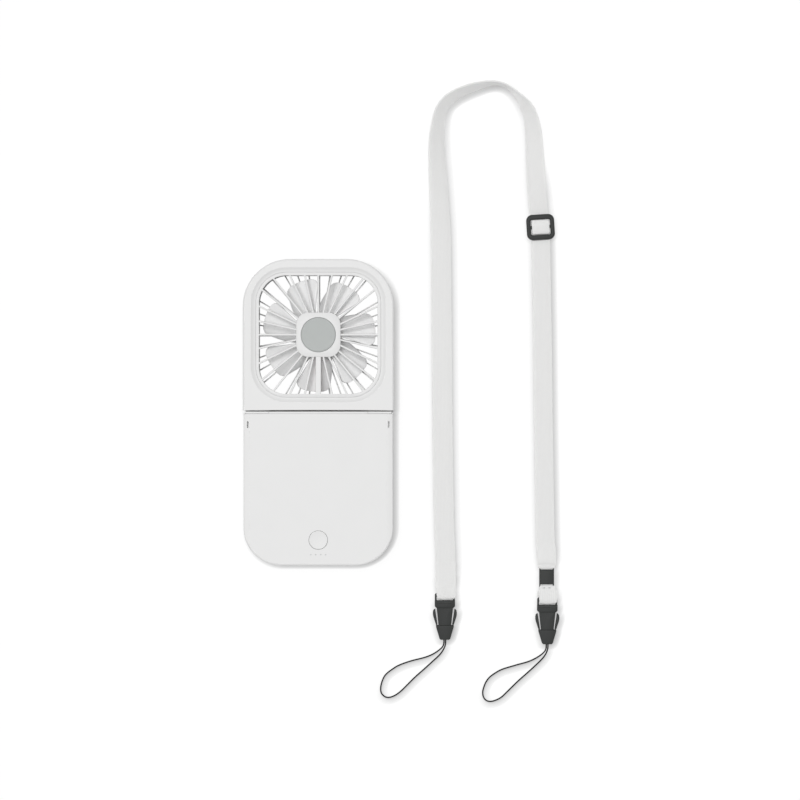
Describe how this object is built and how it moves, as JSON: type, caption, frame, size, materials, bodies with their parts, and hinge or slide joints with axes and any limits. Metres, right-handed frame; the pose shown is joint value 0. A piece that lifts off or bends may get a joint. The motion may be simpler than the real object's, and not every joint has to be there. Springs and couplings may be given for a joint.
{
  "type": "folding pocket fan",
  "caption": "Battery pocket fan with a rounded-square head that folds on its handle, lying beside its detached neck lanyard.",
  "frame": {"origin": "centre of the fan's footprint, on the surface that its back lies on, under the folding seam", "axes": "+X to the fan's right seen from the front, +Y along the fan from handle to head, +Z out of the grille"},
  "size_m": [0.1554, 0.3072, 0.022],
  "materials": {
    "white_shell": "fine matt moulded plastic",
    "white_blade": "smooth moulded plastic",
    "grey_badge": "satin disc",
    "white_webbing": "flat woven webbing",
    "dark_plastic": "matt moulded plastic",
    "black_cord": "braided cord",
    "steel": "plated",
    "copper": "enamelled winding",
    "bushing_brass": "turned",
    "magnet": "sintered",
    "green_board": "circuit board lacquer",
    "cell_foil": "laminated foil",
    "black_foam": "foam pad",
    "clear_guide": "translucent",
    "black_moulding": "moulded",
    "red_wire": "wire insulation",
    "black_wire": "wire insulation"
  },
  "bodies": {
    "handle": {"body_front_shell": "white_shell", "body_rear_shell": "white_shell", "body_screw_1": "steel", "body_screw_2": "steel", "body_screw_3": "steel", "body_screw_4": "steel", "battery_cell": "cell_foil", "battery_pad": "black_foam", "battery_lead_positive": "red_wire", "battery_lead_negative": "black_wire", "main_board": "green_board", "usb_c_socket": "steel", "switch_housing": "black_moulding", "led_light_guide": "clear_guide", "indicator_led_1": "clear_guide", "indicator_led_2": "clear_guide", "indicator_led_3": "clear_guide", "indicator_led_4": "clear_guide", "hinge_pin": "steel", "neck_strap": "white_webbing", "short_strap_loop": "white_webbing", "strap_link": "dark_plastic", "left_buckle_plug": "dark_plastic", "right_buckle_plug": "dark_plastic"},
    "button": {"power_button": "white_shell", "switch_plunger": "black_moulding"},
    "head": {"head_front_frame": "white_shell", "head_rear_frame": "white_shell", "front_grille": "white_shell", "rear_grille": "white_shell", "hub_badge": "grey_badge", "motor_board": "green_board", "motor_stator": "copper", "shaft_bushing": "bushing_brass", "motor_leads": "red_wire", "head_screw_1": "steel", "head_screw_2": "steel", "head_screw_3": "steel", "head_screw_4": "steel"},
    "rotor": {"impeller": "white_blade", "motor_can": "steel", "magnet_ring": "magnet", "rotor_shaft": "steel"},
    "slider": {"strap_slider": "dark_plastic", "strap_end_loop": "white_webbing"},
    "left_cord_half": {"left_buckle_socket": "dark_plastic", "left_cord_loop": "black_cord"},
    "left_buckle_left_squeeze": {"left_buckle_left_arm": "dark_plastic"},
    "left_buckle_right_squeeze": {"left_buckle_right_arm": "dark_plastic"},
    "right_cord_half": {"right_buckle_socket": "dark_plastic", "right_cord_loop": "black_cord"},
    "right_buckle_left_squeeze": {"right_buckle_left_arm": "dark_plastic"},
    "right_buckle_right_squeeze": {"right_buckle_right_arm": "dark_plastic"}
  },
  "joints": [
    {"name": "head_fold", "type": "hinge", "parent": "handle", "child": "head", "pos_m": [0, 0, 0.0212], "axis": [1, 0, 0], "range_deg": [0, 90]},
    {"name": "rotor_spin", "type": "hinge", "parent": "head", "child": "rotor", "pos_m": [0, 0.0378, 0.011], "axis": [0, 0, 1], "continuous": true},
    {"name": "button_press", "type": "slide", "parent": "handle", "child": "button", "axis": [0, 0, -1], "range_m": [0, 0.00045], "stiffness_N_per_m": 800, "springref_m": -0.0003},
    {"name": "slider_travel", "type": "slide", "parent": "handle", "child": "slider", "axis": [0.0158, -0.9999, 0], "range_m": [0, 0.12]},
    {"name": "left_buckle_release", "type": "slide", "parent": "handle", "child": "left_cord_half", "axis": [0, -1, 0], "range_m": [0, 0.012]},
    {"name": "left_buckle_left_arm_squeeze", "type": "hinge", "parent": "left_cord_half", "child": "left_buckle_left_squeeze", "pos_m": [0.058, -0.1052, 0.002], "axis": [0, 0, -1], "range_deg": [0, 4.5], "stiffness_Nm_per_rad": 0.02},
    {"name": "left_buckle_right_arm_squeeze", "type": "hinge", "parent": "left_cord_half", "child": "left_buckle_right_squeeze", "pos_m": [0.066, -0.1052, 0.002], "axis": [0, 0, 1], "range_deg": [0, 4.5], "stiffness_Nm_per_rad": 0.02},
    {"name": "right_buckle_release", "type": "slide", "parent": "handle", "child": "right_cord_half", "axis": [0, -1, 0], "range_m": [0, 0.012]},
    {"name": "right_buckle_left_arm_squeeze", "type": "hinge", "parent": "right_cord_half", "child": "right_buckle_left_squeeze", "pos_m": [0.1087, -0.1074, 0.002], "axis": [0, 0, -1], "range_deg": [0, 4.5], "stiffness_Nm_per_rad": 0.02},
    {"name": "right_buckle_right_arm_squeeze", "type": "hinge", "parent": "right_cord_half", "child": "right_buckle_right_squeeze", "pos_m": [0.1167, -0.1074, 0.002], "axis": [0, 0, 1], "range_deg": [0, 4.5], "stiffness_Nm_per_rad": 0.02}
  ]
}
